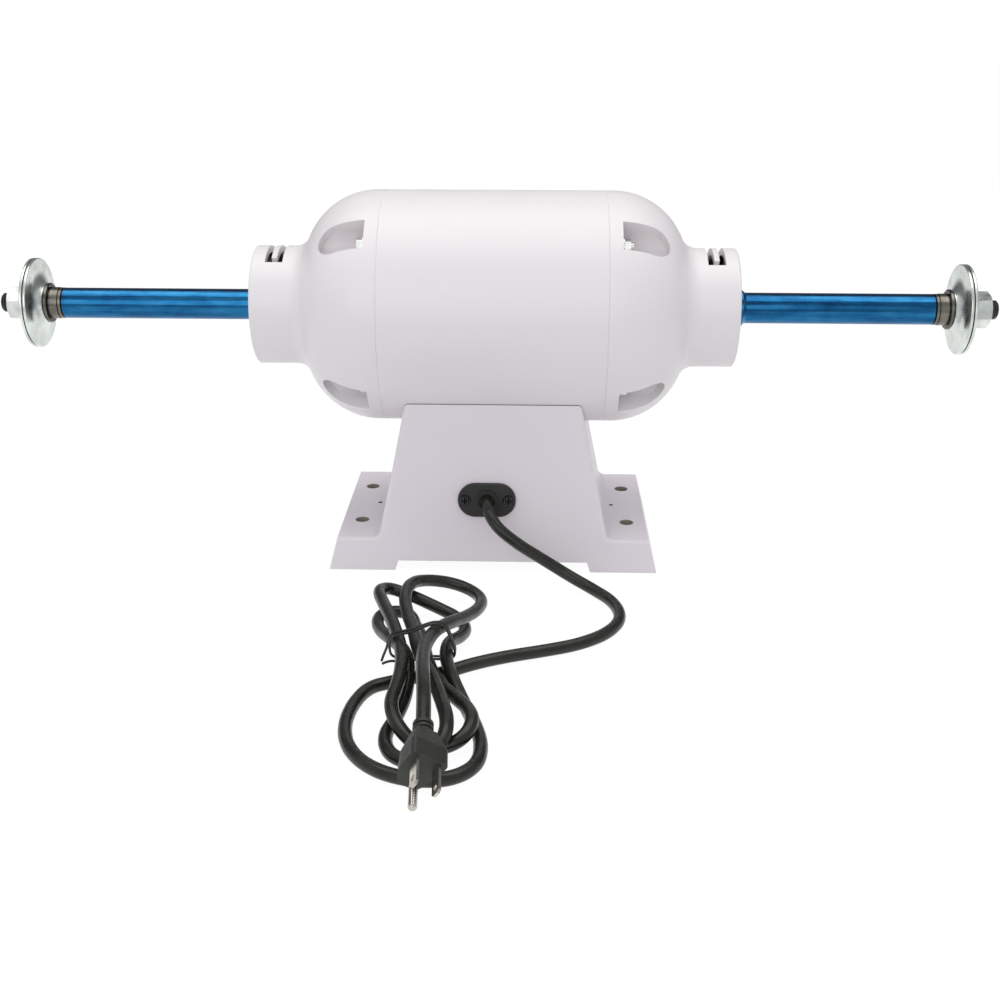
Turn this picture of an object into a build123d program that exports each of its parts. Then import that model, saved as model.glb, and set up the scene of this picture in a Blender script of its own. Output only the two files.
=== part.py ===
"""Bench polishing machine with a double-ended spindle, in millimetres.

Frame: X runs along the motor shaft, Z is up, the mains cord leaves towards -Y.
The origin is on the bench, in the middle of the base. Left and right are as seen
from the cord side, so right is +X.
"""
from math import acos, asin, atan, ceil, cos, degrees, pi, radians, sin, sqrt
import os

from build123d import *

os.makedirs("parts", exist_ok=True)

# Motor housing
axis_height = 172.5          # bench to shaft centre
shell_radius = 79.5
shell_wall = 4.0
seam_x = 75.5                # joint line between shell and end bell
shoulder_land = 5.0          # straight stretch beside the seam
shoulder_radius = 52.0       # round that draws the bell in to its neck
bell_wall = 6.0
neck_radius = 41.0
neck_wall = 5.0
neck_fillet = 12.0
neck_face_x = 166.0          # outer end of the neck
neck_edge = 1.2
end_wall = 5.5
register_length = 5.0        # bell's spigot inside the shell
register_wall = 4.0
seam_chamfer = 0.4           # on both edges of the seam

# Tie bolts and their pockets
bolt_inset = 8.5             # bolt's axis from the shell's inner face
bolt_angle = 41.0            # the pattern is turned a little about the shaft
bolt_radius = 2.5
bolt_way = 0.4               # clearance round the bolt in the bell
bolt_head_flats = 9.0
bolt_head_height = 4.2
bolt_flange_radius = 6.0
bolt_flange_height = 1.3
bolt_tail = 7.5              # thread left beyond the seat, for the nut
pocket_radius = 11.5
pocket_seat = 9.0            # seam to the flat seat
pocket_length = 31.5         # seat to the rounded tip
pocket_wall = 4.0

# Neck vents
vent_width = 4.3             # gap all round the rib
vent_rib = 3.5               # rib standing in the window, on the bearing hub
vent_from_face = 9.5
vent_half_angle = 33.0

# Clearances
running_gap = 0.05           # shaft in bore, nut on thread
seat_gap = 0.03              # pressed or tapped fits, drawn just clear
saddle_gap = 0.3             # motor shell above the pedestal's saddle
part_gap = 0.3               # faces that turn or slide past each other
overlap = 1.0                # how far a cut or a root runs past the face it meets

# Bearings
bearing_bore = 10.0
bearing_radius = 23.5
bearing_width = 14.0
ball_radius = 3.97
ball_pitch = 16.75
ball_count = 8
race_groove = 4.15
race_land = 3.4              # race thickness at its shoulder
cage_half_width = 5.4
cage_wall = 2.2
preload_washer = 1.5
preload_inset = 0.5          # washer's edge inside the outer race's
bearing_hub_wall = 6.0
bearing_hub_lip = 1.0        # hub stands this far inwards of the bearing
ball_pocket_gap = 0.15

# Shaft, sleeves and clamping stack
core_seat_radius = 14.0
core_seat_x = 62.0
shaft_shoulder_radius = 13.0
spindle_radius = 8.0
thread_radius = 7.0
spindle_end_x = 348.5
thread_end_x = 342.9         # the lead-in beyond it is a little thinner
lead_in_radius = 6.6
thread_chamfer = 1.2
sleeve_radius = 10.65
sleeve_outer_x = 304.4
sleeve_flare_radius = 12.7
sleeve_flare_length = 7.5
sleeve_flare_taper = 2.3
sleeve_clearance = 1.8       # ring of dark between the sleeve and the bell
collar_ring_radius = 10.75
collar_ring_length = 2.5
collar_body_radius = 11.0
collar_body_length = 6.7
collar_lip_radius = 13.85
collar_lip_length = 2.8
collar_edge = 0.6            # bevel on both edges of the lip
collar_step = 0.5            # groove beside the ring
flange_radius = 31.1
flange_rim = 2.0             # thickness of the flat rim
flange_rim_round = 0.6
flange_rim_width = 9.0       # from the flare out to the edge
flange_hub_radius = 12.5
flange_dish = 5.2            # how far the hub stands back from the rim
flange_plate = 3.0
flange_spacing = 0.6         # dark line between the closed rims
nut_flats = 22.0
nut_height = 11.0
nut_bevel = 1.3
nut_face_inset = 0.4         # bevel's circle inside the flats
nut_corner_spare = 0.3       # bevel starts this far outside the corners
right_nut_turn = 18.0        # how the corners stand, degrees about the shaft
left_nut_turn = 44.0

# Rotor and stator
rotor_share = 0.5            # rotor against the outside of the stator
core_half_length = 40.0
cage_ring_width = 15.0
cage_ring_length = 8.0
fan_blade_length = 9.0
fan_blade_width = 2.6
fan_blade_count = 8
fan_blade_inset = 2.0
end_ring_inset = 0.6
air_gap = 0.6
stator_bolt_gap = 1.0
slot_count = 24
slot_width = 4.6
tooth_tip = 3.2              # stator bore to the slots
slot_cover = 4.6             # slots to the outside of the end turns
slot_mouth = 2.0
slot_lining = 0.4            # bare space between a winding's bar and its slot
winding_step = 0.6           # slots to the inside of the end turns
winding_bolt_gap = 4.5
winding_length = 18.0
winding_chamfer = 6.0

# Pedestal
foot_height = 23.3
foot_top_x = 108.4
foot_draft = 0.262           # metres run in per metre of rise, end faces
side_x = 79.4                # upright's half width at the top of the feet
side_draft = 0.2057
face_y = 67.5                # front and back half depth at the top of the feet
face_draft = 0.0933
upright_top = 128.0
casting_wall = 6.0
saddle_roof = 7.0
foot_root_fillet = 6.0
upright_edge = 2.5
arch_height = 7.0            # gap under the casting between the feet
arch_half_top = 66.0
arch_slope = 2.3
foot_hole_x = 95.0
foot_hole_y = 33.6
foot_hole_radius = 4.75
foot_pin_x = 85.7
foot_pin_radius = 1.4
foot_boss_radius = 10.0
foot_recess_depth = 14.0
foot_recess_in = 88.5
foot_recess_out = 104.0
foot_recess_half_y = 59.0
foot_recess_corner = 3.0
wire_hole_radius = 8.0
saddle_screw_x = 50.0
saddle_screw_radius = 4.0
saddle_screw_head = 6.5
saddle_screw_head_height = 6.0
saddle_screw_tip = 2.0       # how far the tip stands inside the shell
saddle_screw_key = 3.0       # half the flats of the key socket

# Bottom cover
cover_thickness = 1.5
cover_bottom = 8.5
cover_gap = 1.0
cover_corner = 4.0
post_x = 68.0
post_y = 54.0
post_radius = 7.0
post_height = 18.0
cover_screw_radius = 2.0
cover_screw_head = 4.2
cover_screw_head_height = 2.2
cover_screw_length = 9.0

# Cord gland on the back face
gland_x = -4.0
gland_z = 51.9
gland_length = 40.0
gland_width = 24.0
gland_plate = 2.4
gland_edge = 0.8
gland_boss_radius = 7.3
gland_boss_height = 1.6
gland_recess_radius = 5.8
gland_recess_depth = 2.4
gland_spigot_radius = 7.0
gland_spigot_extra = 4.0
gland_screw_spacing = 30.0
gland_screw_radius = 1.75
gland_screw_head = 3.95
gland_screw_head_height = 1.9
gland_screw_length = 9.0
gland_screw_taper = 18.0
cross_slot_length = 4.4
cross_slot_width = 1.0
cross_slot_depth = 1.2

# Switch on the front face
switch_z = 62.0
switch_bezel_x = 23.0
switch_bezel_z = 31.0
switch_bezel = 2.0
switch_bezel_corner = 2.0
switch_body_x = 19.0
switch_body_z = 27.0
switch_body_depth = 24.0
switch_well_depth = 13.0
rocker_radius = 12.3
rocker_width = 14.6
rocker_pivot_depth = 6.5
rocker_face = 7.2            # bottom of the rocker's hollow face above its pivot
rocker_foot = 3.0
rocker_tilt = 10.0
rocker_pin_radius = 1.5
rocker_pin_length = 1.2
rocker_gap = 0.4

# Electrical parts inside the pedestal
capacitor_radius = 17.5
capacitor_length = 66.0
capacitor_edge = 1.5
tab_spacing = 12.0
tab_width = 6.0
tab_thickness = 1.0
tab_length = 8.0
capacitor_x = 14.0
capacitor_y = -16.0
clip_band = 1.0
clip_width = 14.0
clip_foot = 26.0
terminal_length = 42.0
terminal_width = 17.0
terminal_height = 13.0
terminal_x = -46.0
terminal_y = 14.0
terminal_count = 4
terminal_screw_radius = 2.6
terminal_screw_depth = 6.0
terminal_slot = 1.6
terminal_slot_depth = 5.0
earth_x = -46.0
earth_y = -30.0
earth_head_radius = 4.5
earth_head_height = 3.0
earth_slot = 1.2

# Cord and plug
cord_radius = 4.0
cord_rise = 13.0             # straight stretch out of the gland
cord_lead_in = 18.0          # straight stretch into the plug
arc_share = 0.45             # of the shorter run beside a bend
gap_step = 3.0               # spacing of the points that gaps are taken at
tie_radius = 0.8
plug_face = (-26.0, -353.6, 21.3)
plug_turn = 2.9              # degrees, plug axis off -Y towards +X
plug_dip = 14.1              # degrees below level
plug_roll = -32.6
plug_width = 20.8
plug_top = 9.3               # above the pin layout's centre
plug_shoulder = -3.5         # where the face starts to narrow
plug_bottom = -15.0
plug_bottom_half = 5.5
plug_round = 2.2
plug_front = 10.5
plug_taper = 12.5
plug_neck = 8.0
plug_neck_radius = 5.5
plug_groove = 0.9
plug_groove_width = 1.2
plug_groove_places = (1.5, 4.5)
plug_neck_share = 0.6        # outline at the neck against the face's
blade_spacing = 12.7
blade_width = 6.35
blade_thickness = 1.5
blade_length = 17.0
blade_rise = 4.0
blade_hole = 1.6
blade_hole_back = 4.5        # from the blade's tip
blade_tip = 1.4
earth_pin_radius = 2.4
earth_pin_length = 20.0
earth_pin_drop = 7.9
earth_pin_tip = 0.7          # tip's round against the pin's radius

# Derived planes and axes
axis_section = Plane(origin=(0, 0, axis_height), x_dir=(1, 0, 0), z_dir=(0, -1, 0))
motor_axis = Axis((0, 0, axis_height), (1, 0, 0))


def across(x):
    """Plane square to the shaft at x, with local x to +Y and local y up."""
    return Plane(origin=(x, 0, axis_height), x_dir=(0, 1, 0), z_dir=(1, 0, 0))


def side_half(z):
    return side_x - (z - foot_height) * side_draft


def face_half(z):
    return face_y - (z - foot_height) * face_draft


def turned_plane(plane, angle):
    """The same plane with its own x turned by an angle about its normal."""
    x_dir = plane.x_dir.rotate(Axis(plane.origin, plane.z_dir), angle)
    return Plane(origin=plane.origin, x_dir=x_dir, z_dir=plane.z_dir)


def write(part, name):
    part.label = name
    export_step(part, f"parts/{name}.step")


def mirrored(part):
    return mirror(part, about=Plane.YZ)


def turned(points):
    """Solid turned about the shaft from corners given as (x, radius)."""
    with BuildPart() as piece:
        with BuildSketch(axis_section):
            with BuildLine():
                Polyline(*points, close=True)
            make_face()
        revolve(axis=motor_axis)
    return piece.part


def turned_ring(x_in, x_out, inner, outer):
    return turned([(x_in, inner), (x_out, inner), (x_out, outer), (x_in, outer)])


# Motor shell: a plain tube between the seams, drilled under the saddle
saddle_screw_seat = axis_height - shell_radius - saddle_gap - saddle_roof
with BuildPart() as motor_shell:
    with BuildSketch(Plane.YZ.offset(-seam_x)):
        with Locations((0, axis_height)):
            Circle(shell_radius)
            Circle(shell_radius - shell_wall, mode=Mode.SUBTRACT)
    extrude(amount=2 * seam_x)
    seam_edges = motor_shell.edges().filter_by(GeomType.CIRCLE)
    chamfer(seam_edges.filter_by(lambda e: e.radius > shell_radius - shell_wall / 2), seam_chamfer)
    with BuildSketch(Plane.XY.offset(axis_height - shell_radius - overlap)):
        Circle(wire_hole_radius)
        with Locations((-saddle_screw_x, 0), (saddle_screw_x, 0)):
            Circle(saddle_screw_radius + running_gap)
    extrude(amount=shell_wall + 4 * overlap, mode=Mode.SUBTRACT)
write(motor_shell.part, "motor_shell")

# End bell: outer form, hollow, bolt bosses, bearing hub, pockets and vents
round_centre = (seam_x + shoulder_land, shell_radius - shoulder_radius)
neck_angle = degrees(asin((neck_radius - round_centre[1]) / shoulder_radius))
neck_inner = neck_radius - neck_wall
hollow_round = shoulder_radius - bell_wall
hollow_angle = degrees(asin((neck_inner - round_centre[1]) / hollow_round))
end_wall_x = neck_face_x - end_wall
bolt_circle = shell_radius - shell_wall - bolt_inset
pocket_seat_x = seam_x + pocket_seat
bearing_in_x = end_wall_x - preload_washer - bearing_width
hub_radius = bearing_radius + bearing_hub_wall
sleeve_hole_radius = sleeve_radius + sleeve_clearance
vent_middle_x = neck_face_x - vent_from_face - vent_width - vent_rib / 2
rib_half_angle = vent_half_angle - degrees(vent_width / neck_radius)

with BuildPart() as bell_form:
    with BuildSketch(axis_section) as bell_outline:
        with BuildLine():
            foot_line = Line((seam_x, 0), (seam_x, shell_radius))
            Line(foot_line @ 1, (round_centre[0], shell_radius))
            round_arc = CenterArc(round_centre, shoulder_radius, 90, neck_angle - 90)
            neck_line = Line(round_arc @ 1, (neck_face_x, neck_radius))
            face_line = Line(neck_line @ 1, (neck_face_x, 0))
            Line(face_line @ 1, foot_line @ 0)
        make_face()
        fillet(bell_outline.vertices().sort_by_distance(round_arc @ 1)[0], neck_fillet)
        fillet(bell_outline.vertices().sort_by_distance(neck_line @ 1)[0], neck_edge)
        chamfer(bell_outline.vertices().sort_by_distance(foot_line @ 1)[0], seam_chamfer)
    revolve(axis=motor_axis)

with BuildPart() as bell_bosses:
    with BuildSketch(across(seam_x)):
        with PolarLocations(bolt_circle, 4, start_angle=bolt_angle):
            Circle(pocket_radius + pocket_wall)
    extrude(amount=pocket_seat + pocket_length + pocket_wall)
boss_inside_bell = bell_bosses.part & bell_form.part

# Pocket: a slot open outwards, with a round floor and a round tip away from the seam
with BuildPart() as bolt_pocket:
    with BuildSketch(across(pocket_seat_x)):
        with Locations((bolt_circle, 0)):
            Circle(pocket_radius)
            Rectangle(shell_radius, 2 * pocket_radius, align=(Align.MIN, Align.CENTER))
    extrude(amount=pocket_length)
    with BuildSketch(Plane(origin=(0, 0, axis_height), x_dir=(1, 0, 0), z_dir=(0, 1, 0))):
        with Locations((pocket_seat_x + pocket_length - pocket_radius, 0)):
            Circle(pocket_radius)
            Rectangle(pocket_length, 2 * pocket_radius, align=(Align.MAX, Align.CENTER))
    extrude(amount=2 * shell_radius, mode=Mode.INTERSECT)
pocket_places = [bolt_angle + quarter * 90 for quarter in range(4)]

with BuildPart() as right_end_bell:
    add(bell_form.part)
    with BuildSketch(axis_section):
        with BuildLine():
            inner_foot = Line((seam_x, 0), (seam_x, shell_radius - bell_wall))
            Line(inner_foot @ 1, (round_centre[0], shell_radius - bell_wall))
            inner_arc = CenterArc(round_centre, hollow_round, 90, hollow_angle - 90)
            inner_neck = Line(inner_arc @ 1, (end_wall_x, neck_inner))
            inner_face = Line(inner_neck @ 1, (end_wall_x, 0))
            Line(inner_face @ 1, inner_foot @ 0)
        make_face()
    revolve(axis=motor_axis, mode=Mode.SUBTRACT)
    add(boss_inside_bell)
    add(turned_ring(seam_x - register_length, seam_x + register_wall,
                    shell_radius - shell_wall - register_wall, shell_radius - shell_wall - seat_gap))
    add(turned_ring(bearing_in_x - bearing_hub_lip, end_wall_x + overlap, bearing_radius, hub_radius))
    with BuildSketch(across(end_wall_x)):
        Circle(bearing_radius + seat_gap)
    extrude(amount=bearing_in_x - bearing_hub_lip - overlap - end_wall_x, mode=Mode.SUBTRACT)
    with BuildSketch(across(end_wall_x - overlap)):
        Circle(sleeve_hole_radius)
    extrude(amount=end_wall + 2 * overlap, mode=Mode.SUBTRACT)
    for angle in pocket_places:
        add(bolt_pocket.part.rotate(motor_axis, angle), mode=Mode.SUBTRACT)
    with BuildSketch(across(seam_x - register_length - overlap)):
        with PolarLocations(bolt_circle, 4, start_angle=bolt_angle):
            Circle(bolt_radius + bolt_way)
    extrude(amount=pocket_seat + register_length + 2 * overlap, mode=Mode.SUBTRACT)
    with BuildSketch(axis_section.rotated((-vent_half_angle, 0, 0))):
        with Locations((vent_middle_x, neck_radius)):
            Rectangle(vent_rib + 2 * vent_width, 3 * neck_wall)
    revolve(axis=motor_axis, revolution_arc=2 * vent_half_angle, mode=Mode.SUBTRACT)
    with BuildSketch(axis_section.rotated((-rib_half_angle, 0, 0))):
        with Locations((vent_middle_x, hub_radius - overlap)):
            Rectangle(vent_rib, neck_radius - hub_radius + overlap, align=(Align.CENTER, Align.MIN))
    revolve(axis=motor_axis, revolution_arc=2 * rib_half_angle)
write(right_end_bell.part, "right_end_bell")
write(mirrored(right_end_bell.part), "left_end_bell")

# Stator: laminated core with winding slots and bolt ways
stator_outer = shell_radius - shell_wall - seat_gap
rotor_radius = rotor_share * stator_outer
stator_bore = rotor_radius + air_gap
slot_inner = stator_bore + tooth_tip
winding_inner = slot_inner + winding_step
winding_outer = bolt_circle - bolt_radius - winding_bolt_gap
slot_outer = winding_outer - slot_cover
slot_middle = (slot_inner + slot_outer) / 2
with BuildPart() as stator_core:
    with BuildSketch(across(-core_half_length)):
        Circle(stator_outer)
        Circle(stator_bore, mode=Mode.SUBTRACT)
        with PolarLocations(bolt_circle, 4, start_angle=bolt_angle):
            Circle(bolt_radius + stator_bolt_gap, mode=Mode.SUBTRACT)
        with PolarLocations(slot_middle, slot_count):
            Rectangle(slot_outer - slot_inner, slot_width, mode=Mode.SUBTRACT)
        with PolarLocations((stator_bore + slot_inner) / 2, slot_count):
            Rectangle(slot_inner - stator_bore + 2 * overlap, slot_mouth, mode=Mode.SUBTRACT)
    extrude(amount=2 * core_half_length)
write(stator_core.part, "stator_core")

# Winding: two end turns joined by a bar in every slot
with BuildPart() as stator_winding:
    with BuildSketch(axis_section):
        for side in (-1, 1):
            middle_x = side * (core_half_length + part_gap + winding_length / 2)
            with Locations((middle_x, (winding_inner + winding_outer) / 2)):
                end_turn = Rectangle(winding_length, winding_outer - winding_inner)
                chamfer(end_turn.vertices(), winding_chamfer)
    revolve(axis=motor_axis)
    with BuildSketch(across(-core_half_length - winding_length / 2)):
        with PolarLocations(slot_middle, slot_count):
            Rectangle(slot_outer - slot_inner - 2 * slot_lining, slot_width - 2 * slot_lining)
    extrude(amount=2 * core_half_length + winding_length)
write(stator_winding.part, "stator_winding")

# Tie bolts run from the left pockets to nuts in the right pockets
with BuildPart() as tie_bolts:
    with BuildSketch(across(-pocket_seat_x)):
        with PolarLocations(bolt_circle, 4, start_angle=bolt_angle):
            Circle(bolt_radius)
    extrude(amount=2 * pocket_seat_x + bolt_tail)
    with BuildSketch(across(-pocket_seat_x)):
        with PolarLocations(bolt_circle, 4, start_angle=bolt_angle):
            Circle(bolt_flange_radius)
    extrude(amount=-bolt_flange_height)
    with BuildSketch(across(-pocket_seat_x - bolt_flange_height)):
        with PolarLocations(bolt_circle, 4, start_angle=bolt_angle):
            RegularPolygon(bolt_head_flats / 2, 6, major_radius=False)
    extrude(amount=-bolt_head_height)
write(tie_bolts.part, "tie_bolts")

with BuildPart() as tie_bolt_nuts:
    with BuildSketch(across(pocket_seat_x)):
        with PolarLocations(bolt_circle, 4, start_angle=bolt_angle):
            Circle(bolt_flange_radius)
            Circle(bolt_radius + running_gap, mode=Mode.SUBTRACT)
    extrude(amount=bolt_flange_height)
    with BuildSketch(across(pocket_seat_x + bolt_flange_height)):
        with PolarLocations(bolt_circle, 4, start_angle=bolt_angle):
            RegularPolygon(bolt_head_flats / 2, 6, major_radius=False)
            Circle(bolt_radius + running_gap, mode=Mode.SUBTRACT)
    extrude(amount=bolt_head_height)
write(tie_bolt_nuts.part, "tie_bolt_nuts")

# Ball bearings, one in each neck
bearing_x = bearing_in_x + bearing_width / 2
bearing_out_x = bearing_in_x + bearing_width


def groove_cut():
    """Ring-shaped ball track, as wide as the race groove."""
    with BuildPart() as groove:
        with BuildSketch(axis_section):
            with Locations((bearing_x, ball_pitch)):
                Circle(race_groove)
        revolve(axis=motor_axis)
    return groove.part


ball_track = groove_cut()
with BuildPart() as outer_race:
    add(turned_ring(bearing_in_x, bearing_out_x, bearing_radius - race_land, bearing_radius))
    add(ball_track, mode=Mode.SUBTRACT)
with BuildPart() as inner_race:
    add(turned_ring(bearing_in_x, bearing_out_x, bearing_bore + seat_gap, bearing_bore + race_land))
    add(ball_track, mode=Mode.SUBTRACT)
with BuildPart() as bearing_balls:
    with Locations(across(bearing_x)):
        with PolarLocations(ball_pitch, ball_count):
            Sphere(ball_radius)
with BuildPart() as bearing_cage:
    add(turned_ring(bearing_x - cage_half_width, bearing_x + cage_half_width,
                    ball_pitch - cage_wall / 2, ball_pitch + cage_wall / 2))
    with Locations(across(bearing_x)):
        with PolarLocations(ball_pitch, ball_count):
            Cylinder(ball_radius + ball_pocket_gap, 6 * cage_wall, rotation=(0, 90, 0),
                     mode=Mode.SUBTRACT)
for piece, name in ((outer_race, "bearing_outer_race"), (inner_race, "bearing_inner_race"),
                    (bearing_balls, "bearing_balls"), (bearing_cage, "bearing_cage")):
    write(piece.part, f"right_{name}")
    write(mirrored(piece.part), f"left_{name}")

# Preload washer on the right and a shim of the same thickness on the left
washer_ring = turned_ring(bearing_out_x, end_wall_x, bearing_radius - race_land,
                          bearing_radius - preload_inset)
write(washer_ring, "bearing_preload_washer")
write(mirrored(washer_ring), "bearing_shim_ring")

# Shaft: stepped, the same at both ends
collar_in_x = sleeve_outer_x
collar_out_x = collar_in_x + collar_ring_length + collar_body_length + collar_lip_length
half_shaft = [
    (core_seat_x, core_seat_radius),
    (core_seat_x, shaft_shoulder_radius),
    (bearing_in_x, shaft_shoulder_radius),
    (bearing_in_x, bearing_bore),
    (bearing_out_x, bearing_bore),
    (bearing_out_x, spindle_radius),
    (collar_out_x, spindle_radius),
    (collar_out_x, thread_radius),
    (thread_end_x, thread_radius),
    (thread_end_x, lead_in_radius),
    (spindle_end_x - thread_chamfer, lead_in_radius),
    (spindle_end_x, lead_in_radius - thread_chamfer),
    (spindle_end_x, 0),
]
shaft = turned([(-x, r) for x, r in reversed(half_shaft)] + half_shaft)
write(shaft, "shaft")

# Rotor: laminations, and cast end rings with fan blades
rotor_core = turned_ring(-core_half_length, core_half_length, core_seat_radius + seat_gap, rotor_radius)
write(rotor_core, "rotor_core")
cage_ring_outer = rotor_radius - end_ring_inset
cage_ring_inner = cage_ring_outer - cage_ring_width
with BuildPart() as rotor_end_rings:
    for side in (-1, 1):
        with BuildSketch(across(side * core_half_length)):
            Circle(cage_ring_outer)
            Circle(cage_ring_inner, mode=Mode.SUBTRACT)
        extrude(amount=side * cage_ring_length)
        with BuildSketch(across(side * (core_half_length + cage_ring_length))):
            with PolarLocations((cage_ring_inner + rotor_radius) / 2, fan_blade_count):
                Rectangle(rotor_radius - cage_ring_inner - 2 * fan_blade_inset, fan_blade_width)
        extrude(amount=side * fan_blade_length)
write(rotor_end_rings.part, "rotor_end_rings")

# Blue sleeves over the spindle: the right one has a flare outside its neck
sleeve_in_x = bearing_out_x
flare_in_x = neck_face_x + part_gap
sleeve_bore = spindle_radius + seat_gap
right_sleeve = turned([
    (sleeve_in_x, sleeve_bore),
    (sleeve_outer_x, sleeve_bore),
    (sleeve_outer_x, sleeve_radius),
    (flare_in_x + sleeve_flare_length, sleeve_radius),
    (flare_in_x + sleeve_flare_length - sleeve_flare_taper, sleeve_flare_radius),
    (flare_in_x, sleeve_flare_radius),
    (flare_in_x, sleeve_radius),
    (sleeve_in_x, sleeve_radius),
])
write(right_sleeve, "right_shaft_sleeve")
write(mirrored(turned_ring(sleeve_in_x, sleeve_outer_x, sleeve_bore, sleeve_radius)), "left_shaft_sleeve")

# Stepped collars between sleeve and inner flange
collar_ring_x = collar_in_x + collar_ring_length
collar_lip_x = collar_out_x - collar_lip_length
collar = turned([
    (collar_in_x, sleeve_bore),
    (collar_out_x, sleeve_bore),
    (collar_out_x, collar_lip_radius - collar_edge),
    (collar_out_x - collar_edge, collar_lip_radius),
    (collar_lip_x + collar_edge, collar_lip_radius),
    (collar_lip_x, collar_lip_radius - collar_edge),
    (collar_lip_x, collar_body_radius),
    (collar_ring_x + collar_step, collar_body_radius),
    (collar_ring_x + collar_step, collar_body_radius - collar_step),
    (collar_ring_x, collar_body_radius - collar_step),
    (collar_ring_x, collar_ring_radius),
    (collar_in_x, collar_ring_radius),
])
write(collar, "right_collar")
write(mirrored(collar), "left_collar")

# Dished clamping flanges: a hub that flares out into a flat rim
flare_top_radius = flange_radius - flange_rim_width
flange_bore = thread_radius + running_gap
rim_back_x = collar_out_x + flange_dish
rim_face_x = rim_back_x + flange_rim
dish_floor_x = collar_out_x + flange_plate
flare_rise = flare_top_radius - flange_hub_radius
flare_radius = (flange_dish ** 2 + flare_rise ** 2) / (2 * flange_dish)
flare_centre = (rim_back_x - flare_radius, flare_top_radius)
flare_angle = degrees(asin(flare_rise / flare_radius))
inner_flare_radius = flare_radius + flange_rim
inner_flare_angle = degrees(acos((dish_floor_x - flare_centre[0]) / inner_flare_radius))


def dished_flange():
    """Inner flange of the right-hand end, its rim facing +X."""
    with BuildPart() as flange:
        with BuildSketch(axis_section) as section:
            with BuildLine():
                flare = CenterArc(flare_centre, flare_radius, 0, -flare_angle)
                inner_flare = CenterArc(flare_centre, inner_flare_radius, 0, -inner_flare_angle)
                rim_back = Line(flare @ 0, (rim_back_x, flange_radius))
                edge = Line(rim_back @ 1, (rim_face_x, flange_radius))
                Line(edge @ 1, inner_flare @ 0)
                floor = Line(inner_flare @ 1, (dish_floor_x, flange_bore))
                bore = Line(floor @ 1, (collar_out_x, flange_bore))
                Line(bore @ 1, flare @ 1)
            make_face()
            fillet(section.vertices().group_by(Axis.Y)[-1], flange_rim_round)
        revolve(axis=motor_axis)
    return flange.part


inner_flange = dished_flange()
write(inner_flange, "right_inner_flange")
write(mirrored(inner_flange), "left_inner_flange")
clamp_middle_x = rim_face_x + flange_spacing / 2
outer_flange = mirror(inner_flange, about=Plane.YZ.offset(clamp_middle_x))
write(outer_flange, "right_outer_flange")
write(mirrored(outer_flange), "left_outer_flange")

# Spindle nuts: hexagons with both faces bevelled to a circle
nut_in_x = 2 * clamp_middle_x - collar_out_x + part_gap
nut_out_x = nut_in_x + nut_height
nut_corner = nut_flats / sqrt(3)


def spindle_nut(turn):
    """Right-hand nut with its corners turned by an angle."""
    with BuildPart() as nut:
        with BuildSketch(across(nut_in_x)):
            RegularPolygon(nut_flats / 2, 6, major_radius=False, rotation=turn)
            Circle(thread_radius + running_gap, mode=Mode.SUBTRACT)
        extrude(amount=nut_height)
        add(turned([
            (nut_in_x, 0),
            (nut_in_x, nut_flats / 2 - nut_face_inset),
            (nut_in_x + nut_bevel, nut_corner + nut_corner_spare),
            (nut_out_x - nut_bevel, nut_corner + nut_corner_spare),
            (nut_out_x, nut_flats / 2 - nut_face_inset),
            (nut_out_x, 0),
        ]), mode=Mode.INTERSECT)
    return nut.part


write(spindle_nut(right_nut_turn), "right_nut")
write(mirrored(spindle_nut(left_nut_turn)), "left_nut")

# Pedestal: one hollow casting with draft on every face and a saddle on top
gland_tilt = degrees(atan(face_draft))
gland_plane = Plane(origin=(gland_x, -face_half(gland_z), gland_z), x_dir=(1, 0, 0),
                    z_dir=(0, -cos(radians(gland_tilt)), sin(radians(gland_tilt))))
switch_plane = Plane(origin=(0, face_half(switch_z), switch_z), x_dir=(-1, 0, 0),
                     z_dir=(0, cos(radians(gland_tilt)), sin(radians(gland_tilt))))
cover_top = cover_bottom + cover_thickness
roof_radius = shell_radius + saddle_gap + saddle_roof
post_places = [(x, y) for x in (-post_x, post_x) for y in (-post_y, post_y)]
foot_places = [(x, y) for x in (-foot_hole_x, foot_hole_x) for y in (-foot_hole_y, foot_hole_y)]
pin_places = [(-foot_pin_x, 0), (foot_pin_x, 0)]
recess_middle = (foot_recess_in + foot_recess_out) / 2


def drafted(half_width, inset, low, high):
    """Block between two heights whose four faces follow the casting's draft."""
    with BuildPart() as block:
        with BuildSketch(Plane.XZ):
            Polygon((-half_width(low) + inset, low), (half_width(low) - inset, low),
                    (half_width(high) - inset, high), (-half_width(high) + inset, high), align=None)
        extrude(amount=2 * face_y, both=True)
        with BuildSketch(Plane.YZ):
            Polygon((-face_half(low) + inset, low), (face_half(low) - inset, low),
                    (face_half(high) - inset, high), (-face_half(high) + inset, high), align=None)
        extrude(amount=2 * foot_top_x, both=True, mode=Mode.INTERSECT)
    return block.part


def foot_half(z):
    return foot_top_x + (foot_height - z) * foot_draft


with BuildPart() as casting_core:
    add(drafted(side_half, casting_wall, -1, upright_top))
    with BuildSketch(Plane.YZ.offset(-foot_top_x)):
        with Locations((0, axis_height)):
            Circle(roof_radius)
    extrude(amount=2 * foot_top_x, mode=Mode.SUBTRACT)

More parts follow.
